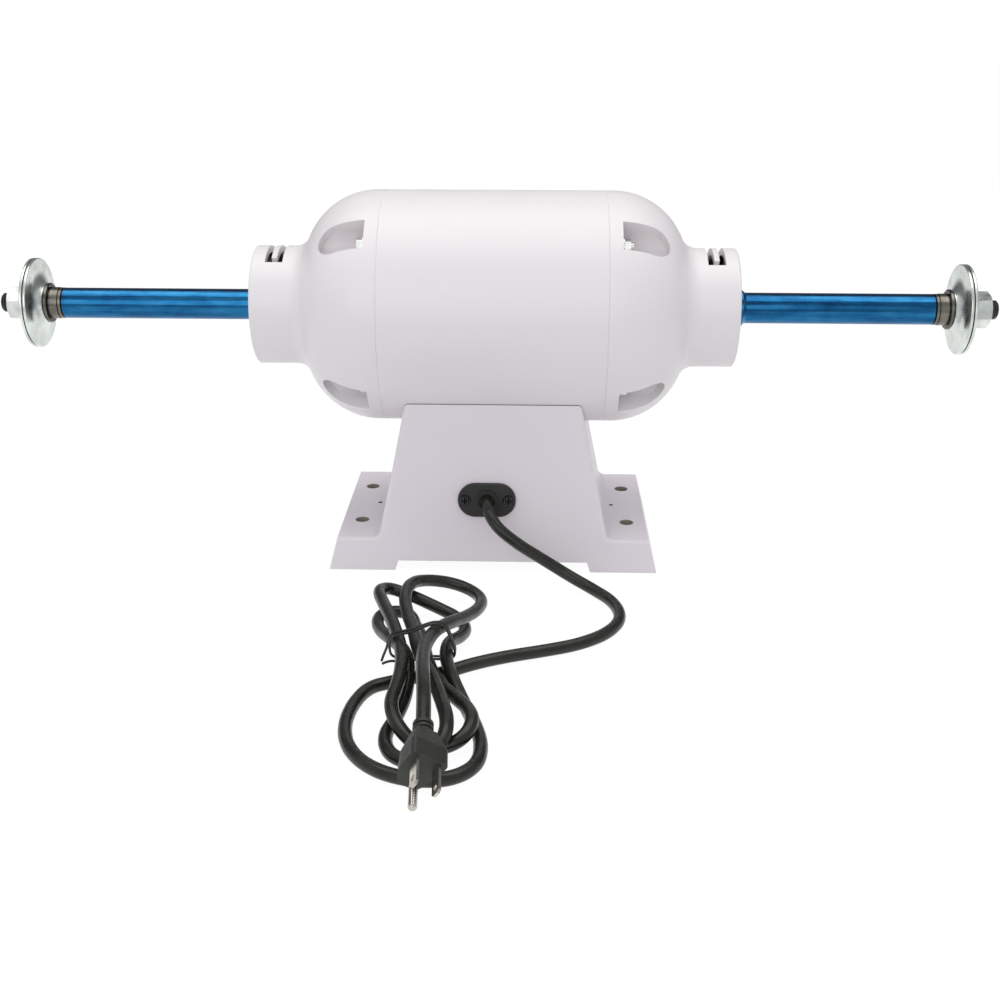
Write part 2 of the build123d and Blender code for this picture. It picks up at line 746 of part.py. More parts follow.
with BuildPart() as pedestal:
    add(drafted(foot_half, 0, 0, foot_height))
    add(drafted(side_half, 0, 0, upright_top))
    foot_tops = pedestal.faces().filter_by(Plane.XY).sort_by(Axis.Z)[1:-1]
    root_edges = foot_tops.edges().filter_by(Axis.Y)
    fillet(root_edges.filter_by(lambda e: abs(e.center().X) < (side_x + foot_top_x) / 2), foot_root_fillet)
    upright_edges = pedestal.edges().filter_by(
        lambda e: abs(e.center().Z - (foot_height + upright_top) / 2) < (upright_top - foot_height) / 4)
    fillet(upright_edges.filter_by(lambda e: abs(e.center().Y) > face_y / 2), upright_edge)
    with BuildSketch(Plane.YZ.offset(-foot_top_x)):
        with Locations((0, axis_height)):
            Circle(shell_radius + saddle_gap)
    extrude(amount=2 * foot_top_x, mode=Mode.SUBTRACT)
    add(casting_core.part, mode=Mode.SUBTRACT)
    with BuildSketch(Plane.XZ.offset(-face_half(0) - overlap)):
        with BuildLine():
            Polyline((-arch_half_top - arch_slope, 0), (-arch_half_top, arch_height),
                     (arch_half_top, arch_height), (arch_half_top + arch_slope, 0), close=True)
        make_face()
    extrude(amount=2 * face_half(0) + 2 * overlap, mode=Mode.SUBTRACT)
    with BuildSketch(Plane.XY):
        with Locations((-recess_middle, 0), (recess_middle, 0)):
            RectangleRounded(foot_recess_out - foot_recess_in, 2 * foot_recess_half_y, foot_recess_corner)
        with Locations(*foot_places):
            Circle(foot_boss_radius, mode=Mode.SUBTRACT)
    extrude(amount=foot_recess_depth, mode=Mode.SUBTRACT)
    with BuildSketch(Plane.XY.offset(cover_top)):
        with Locations(*post_places):
            Circle(post_radius)
    extrude(amount=post_height)
    with BuildSketch(Plane.XY.offset(cover_top)):
        with Locations(*post_places):
            Circle(cover_screw_radius + seat_gap)
    extrude(amount=cover_screw_length + overlap, mode=Mode.SUBTRACT)
    with BuildSketch(Plane.XY):
        with Locations(*foot_places):
            Circle(foot_hole_radius)
        with Locations(*pin_places):
            Circle(foot_pin_radius)
    extrude(amount=foot_height + overlap, mode=Mode.SUBTRACT)
    with BuildSketch(Plane.XY.offset(saddle_screw_seat - 2 * overlap)):
        Circle(wire_hole_radius)
        with Locations((-saddle_screw_x, 0), (saddle_screw_x, 0)):
            Circle(saddle_screw_radius + part_gap)
    extrude(amount=saddle_roof + 4 * overlap, mode=Mode.SUBTRACT)
    with BuildSketch(gland_plane.offset(-casting_wall - overlap)):
        Circle(gland_spigot_radius + part_gap)
        with Locations((-gland_screw_spacing / 2, 0), (gland_screw_spacing / 2, 0)):
            Circle(gland_screw_radius + seat_gap)
    extrude(amount=casting_wall + 2 * overlap, mode=Mode.SUBTRACT)
    with BuildSketch(switch_plane.offset(-casting_wall - overlap)):
        Rectangle(switch_body_x + 2 * part_gap, switch_body_z + 2 * part_gap)
    extrude(amount=casting_wall + 2 * overlap, mode=Mode.SUBTRACT)
write(pedestal.part, "pedestal")

# Screws that hold the shell down on the saddle
with BuildPart() as saddle_screws:
    with BuildSketch(Plane.XY.offset(saddle_screw_seat - saddle_screw_head_height)):
        with Locations((-saddle_screw_x, 0), (saddle_screw_x, 0)):
            Circle(saddle_screw_head)
    extrude(amount=saddle_screw_head_height)
    with BuildSketch(Plane.XY.offset(saddle_screw_seat)):
        with Locations((-saddle_screw_x, 0), (saddle_screw_x, 0)):
            Circle(saddle_screw_radius)
    extrude(amount=saddle_roof + saddle_gap + shell_wall + saddle_screw_tip)
    with BuildSketch(Plane.XY.offset(saddle_screw_seat - saddle_screw_head_height)):
        with Locations((-saddle_screw_x, 0), (saddle_screw_x, 0)):
            RegularPolygon(saddle_screw_key, 6, major_radius=False)
    extrude(amount=saddle_screw_head_height / 2, mode=Mode.SUBTRACT)
write(saddle_screws.part, "saddle_screws")

# Bottom cover, recessed inside the casting
cover_x = side_half(cover_bottom) - casting_wall - cover_gap
cover_y = face_half(cover_bottom) - casting_wall - cover_gap
with BuildPart() as bottom_cover:
    with BuildSketch(Plane.XY.offset(cover_bottom)):
        RectangleRounded(2 * cover_x, 2 * cover_y, cover_corner)
        with Locations(*post_places):
            Circle(cover_screw_radius + part_gap, mode=Mode.SUBTRACT)
    extrude(amount=cover_thickness)
write(bottom_cover.part, "bottom_cover")

with BuildPart() as cover_screws:
    with BuildSketch(Plane.XY.offset(cover_bottom - cover_screw_head_height)):
        with Locations(*post_places):
            Circle(cover_screw_head)
    extrude(amount=cover_screw_head_height)
    with BuildSketch(Plane.XY.offset(cover_bottom)):
        with Locations(*post_places):
            Circle(cover_screw_radius)
    extrude(amount=cover_thickness + cover_screw_length)
write(cover_screws.part, "bottom_cover_screws")

# Cord gland: stadium plate, raised ring and a spigot through the wall
gland_top = gland_plate + gland_boss_height
with BuildPart() as cable_gland:
    with BuildSketch(gland_plane):
        SlotOverall(gland_length, gland_width)
        with Locations((-gland_screw_spacing / 2, 0), (gland_screw_spacing / 2, 0)):
            Circle(gland_screw_radius + part_gap, mode=Mode.SUBTRACT)
    extrude(amount=gland_plate)
    fillet(cable_gland.faces().sort_by(Axis.Y)[0].outer_wire().edges(), gland_edge)
    with BuildSketch(gland_plane):
        Circle(gland_boss_radius)
    extrude(amount=gland_top)
    with BuildSketch(gland_plane.offset(gland_top - gland_recess_depth)):
        Circle(gland_recess_radius)
    extrude(amount=gland_recess_depth, mode=Mode.SUBTRACT)
    with BuildSketch(gland_plane):
        Circle(gland_spigot_radius)
    extrude(amount=-casting_wall - gland_spigot_extra)
write(cable_gland.part, "cable_gland")

with BuildPart() as gland_screws:
    with BuildSketch(gland_plane.offset(gland_plate)):
        with Locations((-gland_screw_spacing / 2, 0), (gland_screw_spacing / 2, 0)):
            Circle(gland_screw_head)
    extrude(amount=gland_screw_head_height, taper=gland_screw_taper)
    with BuildSketch(gland_plane.offset(gland_plate)):
        with Locations((-gland_screw_spacing / 2, 0), (gland_screw_spacing / 2, 0)):
            Circle(gland_screw_radius)
    extrude(amount=-gland_screw_length)
    with BuildSketch(gland_plane.offset(gland_plate + gland_screw_head_height)):
        with Locations((-gland_screw_spacing / 2, 0), (gland_screw_spacing / 2, 0)):
            Rectangle(cross_slot_length, cross_slot_width)
            Rectangle(cross_slot_width, cross_slot_length)
    extrude(amount=-cross_slot_depth, mode=Mode.SUBTRACT)
write(gland_screws.part, "gland_screws")

# Rocker switch: housing with a well, and a rocker on two small pins
rocker_axis_point = switch_plane.offset(-rocker_pivot_depth).origin
rocker_upright = Plane(origin=rocker_axis_point, x_dir=switch_plane.y_dir, z_dir=switch_plane.x_dir)
rocker_section = turned_plane(rocker_upright, rocker_tilt)
rocker_half = rocker_width / 2
with BuildPart() as switch_housing:
    with BuildSketch(switch_plane):
        RectangleRounded(switch_bezel_x, switch_bezel_z, switch_bezel_corner)
    extrude(amount=switch_bezel)
    with BuildSketch(switch_plane):
        Rectangle(switch_body_x, switch_body_z)
    extrude(amount=-switch_body_depth)
    with BuildSketch(switch_plane.offset(switch_bezel)):
        Rectangle(rocker_width + 2 * rocker_gap, 2 * (rocker_radius + rocker_gap))
    extrude(amount=-switch_bezel - switch_well_depth, mode=Mode.SUBTRACT)
    with BuildSketch(rocker_upright.offset(-rocker_half - rocker_gap - rocker_pin_length)):
        Circle(rocker_pin_radius + running_gap)
    extrude(amount=2 * (rocker_half + rocker_gap + rocker_pin_length), mode=Mode.SUBTRACT)
write(switch_housing.part, "switch_housing")

rocker_reach = 2 * rocker_radius
rocker_rise = rocker_reach * sin(radians(rocker_tilt))
with BuildPart() as switch_rocker:
    with BuildSketch(rocker_section.offset(-rocker_half)):
        Circle(rocker_radius)
        Polygon((-rocker_reach, rocker_face + rocker_rise), (0, rocker_face),
                (rocker_reach, rocker_face + rocker_rise), (rocker_reach, 2 * rocker_reach),
                (-rocker_reach, 2 * rocker_reach), align=None, mode=Mode.SUBTRACT)
        with Locations((0, -rocker_foot)):
            Rectangle(2 * rocker_reach, rocker_reach, align=(Align.CENTER, Align.MAX), mode=Mode.SUBTRACT)
    extrude(amount=rocker_width)
    with BuildSketch(rocker_section.offset(-rocker_half - rocker_pin_length)):
        Circle(rocker_pin_radius)
    extrude(amount=rocker_width + 2 * rocker_pin_length)
write(switch_rocker.part, "switch_rocker")

# Run capacitor lying in its clip on the bottom cover
capacitor_z = cover_top + clip_band + part_gap + capacitor_radius
capacitor_start = Plane(origin=(capacitor_x - capacitor_length / 2, capacitor_y, capacitor_z),
                        x_dir=(0, 1, 0), z_dir=(1, 0, 0))
with BuildPart() as run_capacitor:
    with BuildSketch(capacitor_start):
        Circle(capacitor_radius)
    extrude(amount=capacitor_length)
    fillet(run_capacitor.edges().filter_by(GeomType.CIRCLE), capacitor_edge)
    with BuildSketch(capacitor_start):
        with Locations((-tab_spacing / 2, 0), (tab_spacing / 2, 0)):
            Rectangle(tab_thickness, tab_width)
    extrude(amount=-tab_length)
write(run_capacitor.part, "run_capacitor")

clip_plane = Plane(origin=(capacitor_x - clip_width / 2, capacitor_y, capacitor_z),
                   x_dir=(0, 1, 0), z_dir=(1, 0, 0))
with BuildPart() as capacitor_clip:
    with BuildSketch(clip_plane):
        Circle(capacitor_radius + part_gap + clip_band)
        with Locations((0, cover_top + clip_band / 2 - capacitor_z)):
            Rectangle(2 * clip_foot, clip_band)
        Circle(capacitor_radius + part_gap, mode=Mode.SUBTRACT)
    extrude(amount=clip_width)
write(capacitor_clip.part, "capacitor_clip")

# Terminal block and earth screw on the bottom cover
with BuildPart() as terminal_block:
    with BuildSketch(Plane.XY.offset(cover_top)):
        with Locations((terminal_x, terminal_y)):
            Rectangle(terminal_width, terminal_length)
    extrude(amount=terminal_height)
    with BuildSketch(Plane.XY.offset(cover_top + terminal_height)):
        with Locations((terminal_x, terminal_y)):
            with GridLocations(0, terminal_length / terminal_count, 1, terminal_count):
                Circle(terminal_screw_radius)
    extrude(amount=-terminal_screw_depth, mode=Mode.SUBTRACT)
    with BuildSketch(Plane.XY.offset(cover_top + terminal_height)):
        with Locations((terminal_x, terminal_y)):
            with GridLocations(0, terminal_length / terminal_count, 1, terminal_count - 1):
                Rectangle(terminal_width, terminal_slot)
    extrude(amount=-terminal_slot_depth, mode=Mode.SUBTRACT)
write(terminal_block.part, "terminal_block")

with BuildPart() as earth_screw:
    with BuildSketch(Plane.XY.offset(cover_top)):
        with Locations((earth_x, earth_y)):
            Circle(earth_head_radius)
    extrude(amount=earth_head_height)
    with BuildSketch(Plane.XY.offset(cover_top + earth_head_height)):
        with Locations((earth_x, earth_y)):
            Rectangle(2 * earth_head_radius, earth_slot)
    extrude(amount=-earth_slot, mode=Mode.SUBTRACT)
write(earth_screw.part, "earth_screw")

# Mains cord: from the gland down to the bench, round in front of the machine and into its hank
turn_rad = radians(plug_turn)
dip_rad = radians(plug_dip)
plug_dir = Vector(sin(turn_rad) * cos(dip_rad), -cos(turn_rad) * cos(dip_rad), -sin(dip_rad))
plug_side = plug_dir.cross(Vector(0, 0, 1)).normalized() * -1
plug_plane = turned_plane(Plane(origin=plug_face, x_dir=plug_side, z_dir=plug_dir), plug_roll)
plug_length = plug_front + plug_taper + plug_neck
plug_entry = Vector(*plug_face) - plug_dir * plug_length
gland_out = gland_plane.z_dir
cord_start = gland_plane.origin + gland_out * (gland_top - gland_recess_depth)

cord_route = [
    cord_start, cord_start + gland_out * cord_rise, (2, -92, 44), (18, -96, 32), (36, -97, 21),
    (53, -99, 10.5), (69, -107, 4.5), (82, -125, 4), (86, -149, 4), (76, -170, 4), (58, -185, 4),
    (37, -194, 4), (14, -202, 4), (-7, -212, 4), (-25, -225, 4), (-42, -230, 4), (-54, -236, 4),
]
hank_route = [
    (-54, -236, 4), (-66, -242, 4), (-73, -261, 4), (-75, -285, 4), (-70, -308, 4), (-56, -327, 4),
    (-36, -337, 4), (-14, -337, 4), (0, -324, 4), (2, -304, 4), (-2, -284, 4), (-9, -264, 5),
    (-17, -244, 10), (-23, -222, 12.8), (-23, -201, 12.8), (-16, -183, 6.5), (-13, -166, 4),
    (-20, -150, 4), (-33, -143, 7), (-46, -140, 12), (-56, -135.5, 14), (-64.5, -134.5, 16.5),
    (-70, -141, 19), (-70, -152, 21), (-65, -168, 21.6), (-59, -186, 21.6), (-54, -204, 21.6),
    (-49, -224, 21.6), (-46, -245, 21), (-47, -263, 18), (-50, -280, 15), (-44, -297, 11),
    (-33, -307, 5), (-20, -309, 5), (-8, -305, 9), (-3, -294, 13), (-6, -281, 13.2),
    (-14, -269, 13.2), (-23, -255, 12.8), (-30, -238, 12.8), (-35, -218, 12.8), (-38, -197, 12.8),
    (-42, -178, 7), (-46, -163, 4.3), (-49, -150, 4), (-55.5, -143.5, 4), (-64.5, -143.5, 4),
    (-70.5, -150, 4), (-70.5, -162, 4.3), (-66, -176, 5.8), (-58, -194, 10.5), (-47, -214, 12.8),
    (-43, -236, 12.8), (-43, -257, 7), (-47, -276, 4), (-52, -296, 4), (-47, -314, 4),
    (-35, -322, 4.5), (-24, -321, 8), (-17, -311, 14.5), (-17, -297, 17), (-21, -281, 18),
    (-26, -264, 20), (-33, -246, 21.6), (-39, -226, 21.6), (-43, -204, 21.6), (-49, -182, 22),
    (-53, -160, 22.8), (-51, -139, 23), (-41, -124, 18), (-26, -117, 13), (-12, -122, 10),
    (-4, -137, 10), (-6, -157, 13), (-13, -178, 18), (-21, -199, 25), (-29, -219, 30),
    (-33, -240, 31.5), (-33, -261, 34), (-31, -281, 36), plug_entry - plug_dir * cord_lead_in,
    plug_entry,
]
tie_route = [
    (-62, -213, 5.5), (-60.5, -213.2, 10), (-58, -214, 16), (-57.2, -215.3, 22.5),
    (-53.5, -217, 27), (-45, -218.5, 29), (-36, -218.8, 32.8), (-28, -218, 35.3),
    (-22.4, -216.6, 32), (-20.3, -214.4, 25), (-18.5, -212.6, 18.5), (-17.4, -211.2, 12.5),
    (-19.2, -210.2, 8.2), (-25, -209.6, 7.2), (-34, -209.3, 7.3), (-43, -210.4, 7),
    (-51, -212.4, 6.6), (-56, -214.6, 10), (-56.6, -216.6, 16), (-56.2, -218.6, 23),
    (-51.5, -220.8, 27.3), (-44, -222.6, 29.5), (-36, -223.4, 33.6), (-29, -223, 36.3),
    (-22.8, -221.2, 33.5), (-20.6, -218.8, 26.5), (-18.8, -216.6, 19.5), (-17.3, -215, 13),
    (-19, -213.8, 8.2), (-25, -213.1, 7.2), (-34, -213, 7.3), (-43, -214, 7), (-51, -216.2, 6.8),
    (-57, -218, 8.5), (-61, -217.5, 6),
]


def tube(points, radius, name):
    """Round tube along straight runs joined by arcs as large as the runs allow."""
    route = [Vector(*p) for p in points]
    radii = []
    for before, here, after in zip(route, route[1:], route[2:]):
        turn = radians((here - before).get_angle(after - here))
        shorter = min((here - before).length, (after - here).length)
        radii.append(arc_share * shorter / (sin(turn / 2) / cos(turn / 2)))
    with BuildPart() as piece:
        with BuildLine() as path:
            FilletPolyline(*route, radius=radii)
        line = path.wires()[0]
        with BuildSketch(Plane(origin=line @ 0, z_dir=line % 0)):
            Circle(radius)
        sweep(path=line)
    error = piece.part.volume / (pi * radius ** 2 * line.length) - 1
    print(f"{name}: {line.length:.0f} mm long, least radius {min(radii):.1f}, volume error {error:.5f}")
    print("  radii", " ".join(f"{r:.0f}" for r in radii))
    return piece.part, line


def least_gap(line, radius, name):
    """Least gap of a tube to itself, on points along its middle line."""
    count = ceil(line.length / gap_step)
    points = [line @ (i / count) for i in range(count + 1)]
    skip = ceil(8 * radius / gap_step)
    gap = min((a - b).length for i, a in enumerate(points) for b in points[i + skip:]) - 2 * radius
    print(f"{name}: least gap to itself {gap:.2f} mm")


mains_cord = tube(cord_route, cord_radius, "mains_cord")[0]
write(mains_cord, "mains_cord")
cord_hank, hank_line = tube(hank_route, cord_radius, "cord_hank")
least_gap(hank_line, cord_radius, "cord_hank")
write(cord_hank, "cord_hank")
cord_tie, tie_line = tube(tie_route, tie_radius, "cord_tie")
least_gap(tie_line, tie_radius, "cord_tie")
write(cord_tie, "cord_tie")

# Moulded three-pin plug
with BuildSketch() as plug_outline:
    Polygon((-plug_bottom_half, plug_bottom), (plug_bottom_half, plug_bottom),
            (plug_width / 2, plug_shoulder), (plug_width / 2, plug_top),
            (-plug_width / 2, plug_top), (-plug_width / 2, plug_shoulder), align=None)
    fillet(plug_outline.vertices(), plug_round)
plug_face_outline = plug_outline.sketch
plug_neck_outline = scale(plug_face_outline, by=plug_neck_share)

with BuildPart() as plug_body:
    with BuildSketch(plug_plane):
        add(plug_face_outline)
    extrude(amount=-plug_front)
    with BuildSketch(plug_plane.offset(-plug_front)):
        add(plug_face_outline)
    with BuildSketch(plug_plane.offset(-plug_front - plug_taper)):
        add(plug_neck_outline)
    loft(ruled=True)
    with BuildSketch(plug_plane.offset(-plug_front - plug_taper)):
        Circle(plug_neck_radius)
    extrude(amount=-plug_neck)
    for step in plug_groove_places:
        with BuildSketch(plug_plane.offset(-plug_front - plug_taper - step)):
            Circle(plug_neck_radius + overlap)
            Circle(plug_neck_radius - plug_groove, mode=Mode.SUBTRACT)
        extrude(amount=-plug_groove_width, mode=Mode.SUBTRACT)
write(plug_body.part, "plug_body")

blade_middle = Vector(*plug_face) + plug_plane.y_dir * blade_rise
beyond_plug = Vector(*plug_face) + plug_dir * 4 * blade_length
with BuildPart() as plug_blades:
    for side in (-1, 1):
        with BuildSketch(plug_plane):
            with Locations((side * blade_spacing / 2, blade_rise)):
                Rectangle(blade_thickness, blade_width)
        extrude(amount=blade_length)
    blade_ends = plug_blades.edges().filter_by(Axis((0, 0, 0), plug_plane.x_dir))
    chamfer(blade_ends.sort_by_distance(beyond_plug)[:4], blade_tip)
    with BuildSketch(Plane(origin=blade_middle + plug_dir * (blade_length - blade_hole_back),
                           x_dir=plug_plane.y_dir, z_dir=plug_plane.x_dir)):
        Circle(blade_hole)
    extrude(amount=blade_spacing, both=True, mode=Mode.SUBTRACT)
    with BuildSketch(plug_plane):
        with Locations((0, -earth_pin_drop)):
            Circle(earth_pin_radius)
    extrude(amount=earth_pin_length)
    pin_tip = plug_blades.edges().filter_by(GeomType.CIRCLE)
    fillet(pin_tip.sort_by_distance(beyond_plug)[0], earth_pin_radius * earth_pin_tip)
write(plug_blades.part, "plug_blades")
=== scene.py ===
"""Dresses the bench polishing machine: finishes, mains cord, light and camera."""
from math import cos, radians, sin

import bmesh
import bpy
from mathutils import Euler, Matrix, Vector


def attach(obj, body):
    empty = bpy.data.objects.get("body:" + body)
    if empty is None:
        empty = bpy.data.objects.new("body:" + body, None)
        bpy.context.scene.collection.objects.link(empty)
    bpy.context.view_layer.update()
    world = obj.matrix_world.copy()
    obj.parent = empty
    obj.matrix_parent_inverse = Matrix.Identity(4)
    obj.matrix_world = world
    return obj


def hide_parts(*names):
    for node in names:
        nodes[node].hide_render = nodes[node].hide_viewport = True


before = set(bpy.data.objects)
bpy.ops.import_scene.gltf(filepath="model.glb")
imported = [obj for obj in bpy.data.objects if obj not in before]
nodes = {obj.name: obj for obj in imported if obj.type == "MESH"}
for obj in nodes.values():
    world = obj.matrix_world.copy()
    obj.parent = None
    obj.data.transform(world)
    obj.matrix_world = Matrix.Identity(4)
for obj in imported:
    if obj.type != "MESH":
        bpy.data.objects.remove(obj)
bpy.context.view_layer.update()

# Sizes in metres, as in the solids
shaft_height = 0.1725
bell_bore_radius = 0.0363        # inside it the bells are near-black: painted shade in the vents, over bare casting
bell_bore_reach = 0.1604         # as far as the neck's end wall
saddle_radius = 0.08
saddle_reach = 0.12
foot_hole_place = (0.095, 0.0336)
foot_hole_radius = 0.0051
foot_pin_place = (0.0857, 0.0)
foot_pin_radius = 0.0016
tube_end = 0.3044                # from the middle of the spindle
collar_steps = (0.3047, 0.3069, 0.3136)
collar_lip = 0.3161
step_line = 0.0003               # half width of a painted shade line at a step
# edge_line below: half width of a painted shade line at the sleeve's end and the collar's lip
edge_line = 0.0006
rocker_pivot = (0, 0.05742, 0.0614)
rocker_lean = radians(4.67)      # the rocker's face leans back with the stand
mark_height = 0.0068             # marks' centres above and below the pivot
mark_size = 0.0024
mark_line = 0.0007
cord_radius = 0.004
tie_radius = 0.0008

# Cord route, the same control points as the solids, in metres
cord_start = (-0.004, -0.06642, 0.05205)
cord_route = [
    cord_start, (-0.004, -0.07937, 0.05326),
    (0.002, -0.092, 0.044), (0.018, -0.096, 0.032), (0.036, -0.097, 0.021), (0.053, -0.099, 0.0105),
    (0.069, -0.107, 0.0045), (0.082, -0.125, 0.004), (0.086, -0.149, 0.004), (0.076, -0.17, 0.004),
    (0.058, -0.185, 0.004), (0.037, -0.194, 0.004), (0.014, -0.202, 0.004), (-0.007, -0.212, 0.004),
    (-0.025, -0.225, 0.004), (-0.042, -0.23, 0.004), (-0.054, -0.236, 0.004),
]
hank_route = [
    (-0.054, -0.236, 0.004), (-0.066, -0.242, 0.004), (-0.073, -0.261, 0.004), (-0.075, -0.285, 0.004),
    (-0.07, -0.308, 0.004), (-0.056, -0.327, 0.004), (-0.036, -0.337, 0.004), (-0.014, -0.337, 0.004),
    (0, -0.324, 0.004), (0.002, -0.304, 0.004), (-0.002, -0.284, 0.004), (-0.009, -0.264, 0.005),
    (-0.017, -0.244, 0.01), (-0.023, -0.222, 0.0128), (-0.023, -0.201, 0.0128), (-0.016, -0.183, 0.0065),
    (-0.013, -0.166, 0.004), (-0.02, -0.15, 0.004), (-0.033, -0.143, 0.007), (-0.046, -0.14, 0.012),
    (-0.056, -0.1355, 0.014), (-0.0645, -0.1345, 0.0165), (-0.07, -0.141, 0.019), (-0.07, -0.152, 0.021),
    (-0.065, -0.168, 0.0216), (-0.059, -0.186, 0.0216), (-0.054, -0.204, 0.0216), (-0.049, -0.224, 0.0216),
    (-0.046, -0.245, 0.021), (-0.047, -0.263, 0.018), (-0.05, -0.28, 0.015), (-0.044, -0.297, 0.011),
    (-0.033, -0.307, 0.005), (-0.02, -0.309, 0.005), (-0.008, -0.305, 0.009), (-0.003, -0.294, 0.013),
    (-0.006, -0.281, 0.0132), (-0.014, -0.269, 0.0132), (-0.023, -0.255, 0.0128), (-0.03, -0.238, 0.0128),
    (-0.035, -0.218, 0.0128), (-0.038, -0.197, 0.0128), (-0.042, -0.178, 0.007), (-0.046, -0.163, 0.0043),
    (-0.049, -0.15, 0.004), (-0.0555, -0.1435, 0.004), (-0.0645, -0.1435, 0.004), (-0.0705, -0.15, 0.004),
    (-0.0705, -0.162, 0.0043), (-0.066, -0.176, 0.0058), (-0.058, -0.194, 0.0105), (-0.047, -0.214, 0.0128),
    (-0.043, -0.236, 0.0128), (-0.043, -0.257, 0.007), (-0.047, -0.276, 0.004), (-0.052, -0.296, 0.004),
    (-0.047, -0.314, 0.004), (-0.035, -0.322, 0.0045), (-0.024, -0.321, 0.008), (-0.017, -0.311, 0.0145),
    (-0.017, -0.297, 0.017), (-0.021, -0.281, 0.018), (-0.026, -0.264, 0.02), (-0.033, -0.246, 0.0216),
    (-0.039, -0.226, 0.0216), (-0.043, -0.204, 0.0216), (-0.049, -0.182, 0.022), (-0.053, -0.16, 0.0228),
    (-0.051, -0.139, 0.023), (-0.041, -0.124, 0.018), (-0.026, -0.117, 0.013), (-0.012, -0.122, 0.01),
    (-0.004, -0.137, 0.01), (-0.006, -0.157, 0.013), (-0.013, -0.178, 0.018), (-0.021, -0.199, 0.025),
    (-0.029, -0.219, 0.03), (-0.033, -0.24, 0.0315), (-0.033, -0.261, 0.034), (-0.031, -0.281, 0.036),
]
plug_lead_in = (-0.02840, -0.30614, 0.03324)
plug_entry = (-0.02752, -0.32357, 0.02885)
tie_route = [
    (-0.062, -0.213, 0.0055), (-0.0605, -0.2132, 0.01), (-0.058, -0.214, 0.016), (-0.0572, -0.2153, 0.0225),
    (-0.0535, -0.217, 0.027), (-0.045, -0.2185, 0.029), (-0.036, -0.2188, 0.0328), (-0.028, -0.218, 0.0353),
    (-0.0224, -0.2166, 0.032), (-0.0203, -0.2144, 0.025), (-0.0185, -0.2126, 0.0185),
    (-0.0174, -0.2112, 0.0125), (-0.0192, -0.2102, 0.0082), (-0.025, -0.2096, 0.0072),
    (-0.034, -0.2093, 0.0073), (-0.043, -0.2104, 0.007), (-0.051, -0.2124, 0.0066), (-0.056, -0.2146, 0.01),
    (-0.0566, -0.2166, 0.016), (-0.0562, -0.2186, 0.023), (-0.0515, -0.2208, 0.0273),
    (-0.044, -0.2226, 0.0295), (-0.036, -0.2234, 0.0336), (-0.029, -0.223, 0.0363),
    (-0.0228, -0.2212, 0.0335), (-0.0206, -0.2188, 0.0265), (-0.0188, -0.2166, 0.0195),
    (-0.0173, -0.215, 0.013), (-0.019, -0.2138, 0.0082), (-0.025, -0.2131, 0.0072),
    (-0.034, -0.213, 0.0073), (-0.043, -0.214, 0.007), (-0.051, -0.2162, 0.0068), (-0.057, -0.218, 0.0085),
    (-0.061, -0.2175, 0.006),
]


def new_finish(name, colour, metallic, roughness):
    """A material with its shader set, and the tree that further nodes go into."""
    material = bpy.data.materials.new(name)
    material.use_nodes = True
    tree = material.node_tree
    shader = tree.nodes["Principled BSDF"]
    shader.inputs["Base Color"].default_value = (*colour, 1)
    shader.inputs["Metallic"].default_value = metallic
    shader.inputs["Roughness"].default_value = roughness
    return material, tree, shader


def place_on(tree, scale=(1, 1, 1), centre=(0, 0, 0)):
    """Object coordinates, measured from a centre and stretched by a scale."""
    source = tree.nodes.new("ShaderNodeTexCoord")
    mapping = tree.nodes.new("ShaderNodeMapping")
    mapping.inputs["Location"].default_value = [-c * s for c, s in zip(centre, scale)]
    mapping.inputs["Scale"].default_value = scale
    tree.links.new(source.outputs["Object"], mapping.inputs["Vector"])
    return mapping.outputs["Vector"]


def parts_of(tree, vector):
    """The X, Y and Z of a vector socket."""
    split = tree.nodes.new("ShaderNodeSeparateXYZ")
    tree.links.new(vector, split.inputs[0])
    return split.outputs


def calculated(tree, operation, first, second=0.0):
    """One arithmetic step on sockets or plain numbers."""
    step = tree.nodes.new("ShaderNodeMath")
    step.operation = operation
    for socket, value in zip(step.inputs, (first, second)):
        if isinstance(value, (int, float)):
            socket.default_value = value
        else:
            tree.links.new(value, socket)
    return step.outputs[0]


def length_of(tree, first, second, third=0.0):
    """Length of the vector with these three parts."""
    joined = tree.nodes.new("ShaderNodeCombineXYZ")
    for socket, value in zip(joined.inputs, (first, second, third)):
        if isinstance(value, (int, float)):
            socket.default_value = value
        else:
            tree.links.new(value, socket)
    length = tree.nodes.new("ShaderNodeVectorMath")
    length.operation = "LENGTH"
    tree.links.new(joined.outputs[0], length.inputs[0])
    return length.outputs["Value"]


def spread_between(tree, factor, start, end, low, high):
    """Runs from low to high while the factor goes from start to end."""
    spread = tree.nodes.new("ShaderNodeMapRange")
    spread.inputs["From Min"].default_value = start
    spread.inputs["From Max"].default_value = end
    spread.inputs["To Min"].default_value = low
    spread.inputs["To Max"].default_value = high
    tree.links.new(factor, spread.inputs["Value"])
    return spread.outputs["Result"]


def mottle(tree, place, scale, detail=3.0, roughness=0.5):
    """Cloudy noise, larger spots at a smaller scale."""
    noise = tree.nodes.new("ShaderNodeTexNoise")
    noise.inputs["Scale"].default_value = scale
    noise.inputs["Detail"].default_value = detail
    noise.inputs["Roughness"].default_value = roughness
    tree.links.new(place, noise.inputs["Vector"])
    return noise.outputs["Fac"]


